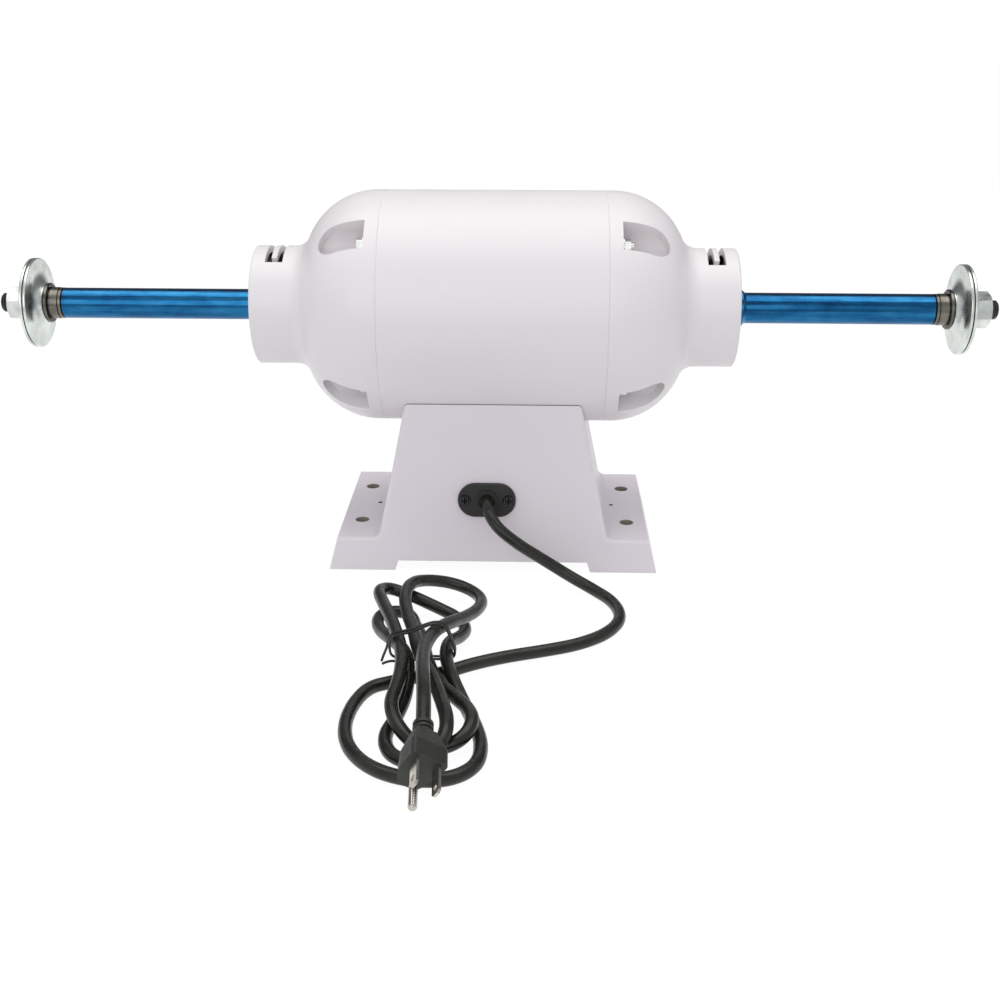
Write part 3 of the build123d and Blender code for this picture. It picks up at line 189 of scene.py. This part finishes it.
def turning_marks(tree, scale, kind="RINGS"):
    """Fine rings round the shaft's axis, or bands along it."""
    place = place_on(tree, centre=(0, 0, shaft_height))
    wave = tree.nodes.new("ShaderNodeTexWave")
    wave.wave_type = kind
    wave.rings_direction = "X"
    wave.bands_direction = "X"
    wave.inputs["Scale"].default_value = scale
    wave.inputs["Distortion"].default_value = 0.6
    wave.inputs["Detail"].default_value = 2.0
    wave.inputs["Detail Scale"].default_value = 1.5
    tree.links.new(place, wave.inputs["Vector"])
    return wave.outputs["Fac"]


def colours_between(tree, shader, factor, stops):
    """Base colour that follows a factor through its stops."""
    ramp = tree.nodes.new("ShaderNodeValToRGB")
    first, *between, last = stops
    for element, (position, colour) in zip(ramp.color_ramp.elements, (first, last)):
        element.position = position
        element.color = (*colour, 1)
    for position, colour in between:
        ramp.color_ramp.elements.new(position).color = (*colour, 1)
    tree.links.new(factor, ramp.inputs["Fac"])
    tree.links.new(ramp.outputs["Color"], shader.inputs["Base Color"])


def roughness_between(tree, shader, factor, low, high):
    """Roughness that follows the middle of a noise."""
    tree.links.new(spread_between(tree, factor, 0.3, 0.7, low, high), shader.inputs["Roughness"])


def relief(tree, shader, height, distance, strength=1.0):
    """Fine bump of a height in metres."""
    bump = tree.nodes.new("ShaderNodeBump")
    bump.inputs["Distance"].default_value = distance
    bump.inputs["Strength"].default_value = strength
    tree.links.new(height, bump.inputs["Height"])
    tree.links.new(bump.outputs["Normal"], shader.inputs["Normal"])


def coloured_where(tree, mask, colour):
    """Lays a second colour over a finish where a mask is 1."""
    shader = tree.nodes["Principled BSDF"]
    mix = tree.nodes.new("ShaderNodeMix")
    mix.data_type = "RGBA"
    mix.inputs["B"].default_value = (*colour, 1)
    tree.links.new(shader.inputs["Base Color"].links[0].from_socket, mix.inputs["A"])
    tree.links.new(mask, mix.inputs["Factor"])
    tree.links.new(mix.outputs["Result"], shader.inputs["Base Color"])


def bare_and_shade_near_shaft(material, radius, half_length, colour):
    """Darkens the faces near the shaft with one near-black colour: painted shade, which inside the bells
    also stands for bare casting.
    """
    tree = material.node_tree
    place = parts_of(tree, place_on(tree, centre=(0, 0, shaft_height)))
    near = calculated(tree, "LESS_THAN", length_of(tree, 0.0, place["Y"], place["Z"]), radius)
    along = calculated(tree, "ABSOLUTE", place["X"])
    within = calculated(tree, "LESS_THAN", along, half_length)
    coloured_where(tree, calculated(tree, "MULTIPLY", near, within), colour)


def bare_and_shaded_holes(material, place, radius, colour):
    """Bare metal in the upright holes that stand at the same distances from the middle; a darker colour
    adds painted shade in a small hole.
    """
    tree = material.node_tree
    here = parts_of(tree, place_on(tree))
    away = [calculated(tree, "SUBTRACT", calculated(tree, "ABSOLUTE", here[axis]), distance)
            for axis, distance in zip("XY", place)]
    coloured_where(tree, calculated(tree, "LESS_THAN", length_of(tree, *away), radius), colour)


def painted_shade_rings(material, shade_places, half_width, colour):
    """Painted shade lines round a turned piece, at distances from the middle of the spindle."""
    tree = material.node_tree
    along = calculated(tree, "ABSOLUTE", parts_of(tree, place_on(tree))["X"])
    for shade_place in shade_places:
        away = calculated(tree, "ABSOLUTE", calculated(tree, "SUBTRACT", along, shade_place))
        coloured_where(tree, calculated(tree, "LESS_THAN", away, half_width), colour)


def on_off_marks(material, colour):
    """White ring below the rocker's pivot and white bar above it."""
    tree = material.node_tree
    place = place_on(tree, centre=rocker_pivot)
    height = tree.nodes.new("ShaderNodeVectorMath")
    height.operation = "DOT_PRODUCT"
    height.inputs[1].default_value = (0, sin(rocker_lean), cos(rocker_lean))
    tree.links.new(place, height.inputs[0])
    above = calculated(tree, "SUBTRACT", height.outputs["Value"], mark_height)
    below = calculated(tree, "ADD", height.outputs["Value"], mark_height)
    aside = parts_of(tree, place)["X"]
    off_ring = calculated(tree, "SUBTRACT", length_of(tree, aside, below), mark_size)
    ring = calculated(tree, "LESS_THAN", calculated(tree, "ABSOLUTE", off_ring), mark_line / 2)
    thin = calculated(tree, "LESS_THAN", calculated(tree, "ABSOLUTE", aside), mark_line / 2)
    short = calculated(tree, "LESS_THAN", calculated(tree, "ABSOLUTE", above), mark_size)
    marks = calculated(tree, "MAXIMUM", ring, calculated(tree, "MULTIPLY", thin, short))
    coloured_where(tree, marks, colour)


def enamel(name, colour, peel_scale, peel_height, gloss):
    """Sprayed enamel: faint cloudiness, slight orange peel and a satin gloss."""
    material, tree, shader = new_finish(name, colour, 0.0, gloss)
    place = place_on(tree)
    darker = [c * 0.988 for c in colour]
    colours_between(tree, shader, mottle(tree, place, 9, 4), [(0.3, darker), (0.7, colour)])
    roughness_between(tree, shader, mottle(tree, place, 40, 4), gloss - 0.02, gloss + 0.03)
    relief(tree, shader, mottle(tree, place, peel_scale, 2), peel_height, 0.3)
    return material


def plated(name, dark, light, roughness, mark_scale, marks="RINGS"):
    """Bright zinc or turned steel with fine machining marks under the plating."""
    material, tree, shader = new_finish(name, light, 1.0, roughness)
    place = place_on(tree)
    colours_between(tree, shader, mottle(tree, place, 60, 4), [(0.32, dark), (0.66, light)])
    roughness_between(tree, shader, mottle(tree, place, 150, 3), roughness * 0.75, roughness * 1.35)
    relief(tree, shader, turning_marks(tree, mark_scale, marks), 0.00003, 0.6)
    return material


def blue_tube():
    """Bright blue drawn tube with streaks and small scuffs along its length."""
    dark, middle, light = (0.003, 0.038, 0.13), (0.009, 0.118, 0.285), (0.03, 0.21, 0.42)
    material, tree, shader = new_finish("blue_tube", middle, 1.0, 0.2)
    streaks = mottle(tree, place_on(tree, (2.5, 90, 90)), 3, 4, 0.6)
    blotches = mottle(tree, place_on(tree, (60, 110, 110)), 1, 5, 0.6)
    marks = calculated(tree, "ADD", calculated(tree, "MULTIPLY", streaks, 0.65),
                       calculated(tree, "MULTIPLY", blotches, 0.35))
    colours_between(tree, shader, marks, [(0.34, dark), (0.5, middle), (0.66, light)])
    roughness_between(tree, shader, mottle(tree, place_on(tree, (8, 60, 60)), 8, 4), 0.12, 0.3)
    relief(tree, shader, mottle(tree, place_on(tree, (6, 300, 300)), 4, 3), 0.00004, 0.5)
    shader.inputs["Coat Weight"].default_value = 0.12
    shader.inputs["Coat Roughness"].default_value = 0.08
    return material


def black_moulding(name, colour, roughness, grain_scale, grain_height):
    """Moulded plastic with a fine grain."""
    material, tree, shader = new_finish(name, colour, 0.0, roughness)
    place = place_on(tree)
    lighter = [c * 1.5 for c in colour]
    colours_between(tree, shader, mottle(tree, place, 70, 4), [(0.3, colour), (0.75, lighter)])
    roughness_between(tree, shader, mottle(tree, place, 200, 3), roughness - 0.06, roughness + 0.08)
    relief(tree, shader, mottle(tree, place, grain_scale, 3), grain_height, 0.6)
    return material


def black_thread():
    """Black-oxide spindle end, with painted shade in the thread's grooves."""
    shaded_groove, crest = (0.008, 0.008, 0.009), (0.09, 0.09, 0.092)
    material, tree, shader = new_finish("black_thread", crest, 0.7, 0.4)
    turns = turning_marks(tree, 210, "BANDS")
    colours_between(tree, shader, turns, [(0.35, shaded_groove), (0.8, crest)])
    relief(tree, shader, turns, 0.0006, 0.9)
    return material


def laminations():
    """Stacked sheet edges, as bands along the shaft."""
    gap, sheet_edge = (0.09, 0.095, 0.11), (0.3, 0.31, 0.33)
    material, tree, shader = new_finish("laminations", sheet_edge, 0.9, 0.45)
    stack = turning_marks(tree, 620, "BANDS")
    colours_between(tree, shader, stack, [(0.2, gap), (0.8, sheet_edge)])
    relief(tree, shader, stack, 0.00015, 0.6)
    return material


def wound_copper():
    """Varnished wire lying round the shaft."""
    shade, wire = (0.2, 0.055, 0.02), (0.66, 0.26, 0.1)
    material, tree, shader = new_finish("wound_copper", wire, 0.85, 0.32)
    wires = turning_marks(tree, 260)
    colours_between(tree, shader, wires, [(0.1, shade), (0.9, wire)])
    relief(tree, shader, wires, 0.0004, 0.8)
    return material


def cord_jacket():
    """Semi-gloss rubber jacket with faint scuffs."""
    rubber, scuffed = (0.007, 0.008, 0.005), (0.019, 0.021, 0.014)
    material, tree, shader = new_finish("cord_jacket", rubber, 0.0, 0.3)
    place = place_on(tree)
    colours_between(tree, shader, mottle(tree, place, 90, 4), [(0.3, rubber), (0.75, scuffed)])
    roughness_between(tree, shader, mottle(tree, place, 120, 4), 0.22, 0.38)
    shader.inputs["Specular IOR Level"].default_value = 0.4
    relief(tree, shader, mottle(tree, place, 500, 3), 0.00012, 0.4)
    return material


# Enamelled castings
# Near-black for painted shade near the shaft, and for bare casting inside the bells
bare_casting_and_shade = (0.03, 0.03, 0.03)
warm_white = (0.80, 0.765, 0.775)
motor_enamel = enamel("motor_enamel", warm_white, 420, 0.00012, 0.34)
bell_enamel = enamel("bell_enamel", warm_white, 420, 0.00012, 0.34)
# Painted shade inside the bells, over their bare casting, darkens the vents
bare_and_shade_near_shaft(bell_enamel, bell_bore_radius, bell_bore_reach, bare_casting_and_shade)
pedestal_enamel = enamel("pedestal_enamel", (0.79, 0.74, 0.775), 260, 0.00018, 0.36)
# Painted shade on the saddle darkens the line under the motor shell
bare_and_shade_near_shaft(pedestal_enamel, saddle_radius, saddle_reach, bare_casting_and_shade)
bare_and_shaded_holes(pedestal_enamel, foot_hole_place, foot_hole_radius, (0.33, 0.31, 0.26))
# Painted shade in the small pin hole, over bare metal
bare_and_shaded_holes(pedestal_enamel, foot_pin_place, foot_pin_radius, (0.12, 0.11, 0.1))
cover_enamel = enamel("cover_enamel", (0.33, 0.34, 0.35), 500, 0.0001, 0.42)

# Spindle
tube_finish = blue_tube()
# Painted shade line at the sleeve's end against the collar
painted_shade_rings(tube_finish, (tube_end,), edge_line, (0.002, 0.006, 0.014))
collar_steel = plated("collar_steel", (0.09, 0.085, 0.07), (0.24, 0.23, 0.195), 0.24, 500, "BANDS")
# Painted shade lines in the collar's steps and at its lip's edge
painted_shade_rings(collar_steel, collar_steps, step_line, (0.014, 0.012, 0.01))
painted_shade_rings(collar_steel, (collar_lip,), edge_line, (0.012, 0.011, 0.009))
flange_plate = plated("flange_plate", (0.58, 0.62, 0.59), (0.78, 0.82, 0.78), 0.27, 330)
nut_plate = plated("nut_plate", (0.5, 0.53, 0.5), (0.84, 0.86, 0.83), 0.3, 420)
spindle_black = black_thread()

# Fasteners, bearings and the motor's inside
screw_plate = plated("screw_plate", (0.5, 0.5, 0.5), (0.82, 0.82, 0.8), 0.25, 420)
bearing_steel = plated("bearing_steel", (0.6, 0.61, 0.63), (0.8, 0.81, 0.83), 0.1, 800)
sheet_steel = plated("sheet_steel", (0.4, 0.4, 0.38), (0.68, 0.68, 0.66), 0.32, 200)
rotor_casting = plated("rotor_casting", (0.5, 0.5, 0.49), (0.75, 0.75, 0.74), 0.45, 90)
stator_steel = laminations()
winding_wire = wound_copper()

# Wiring, switch and plug
can_metal = plated("can_metal", (0.55, 0.56, 0.57), (0.76, 0.77, 0.78), 0.3, 150, "BANDS")
earth_metal = plated("earth_metal", (0.45, 0.32, 0.12), (0.78, 0.6, 0.28), 0.28, 400)
blade_metal = plated("blade_metal", (0.5, 0.47, 0.42), (0.8, 0.77, 0.72), 0.2, 300)
gland_moulding = black_moulding("gland_moulding", (0.01, 0.011, 0.009), 0.4, 500, 0.0001)
rocker_moulding = black_moulding("rocker_moulding", (0.02, 0.02, 0.02), 0.24, 300, 0.00004)
on_off_marks(rocker_moulding, (0.75, 0.75, 0.73))
plug_moulding = black_moulding("plug_moulding", (0.015, 0.017, 0.012), 0.48, 700, 0.00015)
terminal_moulding = black_moulding("terminal_moulding", (0.5, 0.46, 0.36), 0.45, 300, 0.0001)
jacket = cord_jacket()

finishes = {
    "pedestal": pedestal_enamel, "bottom_cover": cover_enamel, "motor_shell": motor_enamel,
    "shaft": spindle_black, "tie_bolts": screw_plate, "tie_bolt_nuts": screw_plate,
    "gland_screws": spindle_black, "bottom_cover_screws": screw_plate, "saddle_screws": screw_plate,
    "stator_core": stator_steel, "rotor_core": stator_steel, "stator_winding": winding_wire,
    "rotor_end_rings": rotor_casting, "cable_gland": gland_moulding, "switch_housing": gland_moulding,
    "switch_rocker": rocker_moulding, "plug_body": plug_moulding, "plug_blades": blade_metal,
    "run_capacitor": can_metal, "capacitor_clip": sheet_steel, "terminal_block": terminal_moulding,
    "earth_screw": earth_metal, "bearing_preload_washer": sheet_steel, "bearing_shim_ring": sheet_steel,
}
paired_finishes = {
    "end_bell": bell_enamel, "shaft_sleeve": tube_finish, "collar": collar_steel,
    "inner_flange": flange_plate, "outer_flange": flange_plate, "nut": nut_plate,
    "bearing_outer_race": bearing_steel, "bearing_inner_race": bearing_steel,
    "bearing_balls": bearing_steel, "bearing_cage": sheet_steel,
}
for piece, finish in paired_finishes.items():
    for side in ("left", "right"):
        finishes[f"{side}_{piece}"] = finish
for name, node in nodes.items():
    if name in finishes:
        for material_slot in node.material_slots:
            material_slot.material = finishes[name]


def round_cord(name, route, radius, material, bevel_steps):
    """A smooth round cord whose control points are the route."""
    curve = bpy.data.curves.new(name, "CURVE")
    curve.dimensions = "3D"
    curve.bevel_depth = radius
    curve.bevel_resolution = bevel_steps
    curve.use_fill_caps = True
    curve.resolution_u = 6
    spline = curve.splines.new("NURBS")
    spline.points.add(len(route) - 1)
    for point, place in zip(spline.points, route):
        point.co = (*place, 1)
    spline.order_u = 3
    spline.use_endpoint_u = True
    curve.materials.append(material)
    cord = bpy.data.objects.new(name, curve)
    bpy.context.scene.collection.objects.link(cord)
    return cord


whole_route = cord_route + hank_route[1:] + [plug_lead_in, plug_entry]
cord = round_cord("supply_cord", whole_route, cord_radius, jacket, 5)
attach(cord, "base")
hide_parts("mains_cord", "cord_hank")
tie = round_cord("cord_tie_wire", tie_route, tie_radius, gland_moulding, 2)
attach(tie, "base")
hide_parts("cord_tie")


def seen_directly(tree):
    """1 for camera, mirror and glass rays, 0 for the light that falls on the object."""
    rays = tree.nodes.new("ShaderNodeLightPath").outputs
    either = calculated(tree, "MAXIMUM", rays["Is Camera Ray"], rays["Is Glossy Ray"])
    return calculated(tree, "MAXIMUM", either, rays["Is Transmission Ray"])


def lay_floor():
    """White table top that keeps a soft shadow. In mirrors it fades with distance."""
    half_width = 6
    drop = 0.0002
    glow_strength = 1.06
    glow_share = 0.9
    fade_start, fade_end, fade = 0.9, 1.3, 0.5
    shape = bmesh.new()
    bmesh.ops.create_grid(shape, x_segments=1, y_segments=1, size=half_width)
    bmesh.ops.translate(shape, verts=shape.verts, vec=(0, 0, -drop))
    mesh = bpy.data.meshes.new("table_top")
    shape.to_mesh(mesh)
    shape.free()
    floor = bpy.data.objects.new("table_top", mesh)
    bpy.context.scene.collection.objects.link(floor)
    material, tree, shader = new_finish("table_white", (0.8, 0.8, 0.8), 0.0, 0.9)
    here = parts_of(tree, place_on(tree))
    faded = spread_between(tree, length_of(tree, here["X"], here["Y"], here["Z"]), fade_start, fade_end,
                           0.0, fade)
    mirrored = tree.nodes.new("ShaderNodeLightPath").outputs["Is Glossy Ray"]
    strength = calculated(tree, "SUBTRACT", glow_strength, calculated(tree, "MULTIPLY", faded, mirrored))
    glow = tree.nodes.new("ShaderNodeEmission")
    tree.links.new(strength, glow.inputs["Strength"])
    mix = tree.nodes.new("ShaderNodeMixShader")
    tree.links.new(calculated(tree, "MULTIPLY", seen_directly(tree), glow_share), mix.inputs["Fac"])
    tree.links.new(shader.outputs["BSDF"], mix.inputs[1])
    tree.links.new(glow.outputs["Emission"], mix.inputs[2])
    tree.links.new(mix.outputs["Shader"], tree.nodes["Material Output"].inputs["Surface"])
    mesh.materials.append(material)


def light_world():
    """White backdrop for the camera, and a room that mirrors see with a darker back wall."""
    room_strength = 0.64
    wall_start, wall_end, wall_dimming = 0.3, 0.45, 0.46
    world = bpy.data.worlds.new("studio")
    world.use_nodes = True
    bpy.context.scene.world = world
    tree = world.node_tree
    room = tree.nodes["Background"]
    room.inputs["Color"].default_value = (0.93, 0.95, 1.0, 1)
    backdrop = tree.nodes.new("ShaderNodeBackground")
    backdrop.inputs["Strength"].default_value = 1.0
    backdrop.inputs["Color"].default_value = (1, 1, 1, 1)
    rays = tree.nodes.new("ShaderNodeLightPath").outputs
    direction = parts_of(tree, tree.nodes.new("ShaderNodeTexCoord").outputs["Generated"])
    wall = spread_between(tree, direction["Y"], wall_start, wall_end, 0.0, wall_dimming)
    dimmed = calculated(tree, "MULTIPLY", wall, rays["Is Glossy Ray"])
    tree.links.new(calculated(tree, "SUBTRACT", room_strength, dimmed), room.inputs["Strength"])
    mix = tree.nodes.new("ShaderNodeMixShader")
    tree.links.new(rays["Is Camera Ray"], mix.inputs["Fac"])
    tree.links.new(room.outputs["Background"], mix.inputs[1])
    tree.links.new(backdrop.outputs["Background"], mix.inputs[2])
    tree.links.new(mix.outputs["Shader"], tree.nodes["World Output"].inputs["Surface"])


def soft_box(name, place, aim, width, depth, energy, colour=(1, 1, 1), in_mirrors=True):
    """Rectangular lamp, turned to its aim."""
    lamp = bpy.data.lights.new(name, "AREA")
    lamp.color = colour
    lamp.shape = "RECTANGLE"
    lamp.size = width
    lamp.size_y = depth
    lamp.energy = energy
    holder = bpy.data.objects.new(name, lamp)
    bpy.context.scene.collection.objects.link(holder)
    holder.location = place
    holder.rotation_mode = "QUATERNION"
    holder.rotation_quaternion = (Vector(aim) - Vector(place)).to_track_quat("-Z", "Y")
    holder.visible_glossy = in_mirrors


def set_camera():
    """Camera at the photograph's viewpoint."""
    viewpoint = (0.02757, -0.91692, 0.38715)
    tilt, lean, turn = radians(68.520), radians(-0.0854), radians(1.547)
    data = bpy.data.cameras.new("photo_view")
    data.sensor_width = 36
    data.lens = 47.8
    camera = bpy.data.objects.new("photo_view", data)
    bpy.context.scene.collection.objects.link(camera)
    camera.matrix_world = Matrix.Translation(viewpoint) @ Euler((tilt, lean, turn)).to_matrix().to_4x4()
    bpy.context.scene.camera = camera


lay_floor()
light_world()
soft_box("overhead", (0, 0.1, 1.5), (0, 0, 0.15), 1.8, 1.2, 11.5, (1, 0.965, 0.925))
soft_box("front", (-0.3, -1.5, 0.7), (0, 0, 0.12), 1.6, 0.9, 5)
soft_box("behind", (0.3, 1.5, 1.0), (0, 0, 0.15), 1.4, 0.8, 4.5, in_mirrors=False)
set_camera()
bpy.context.scene.view_settings.view_transform = "Standard"
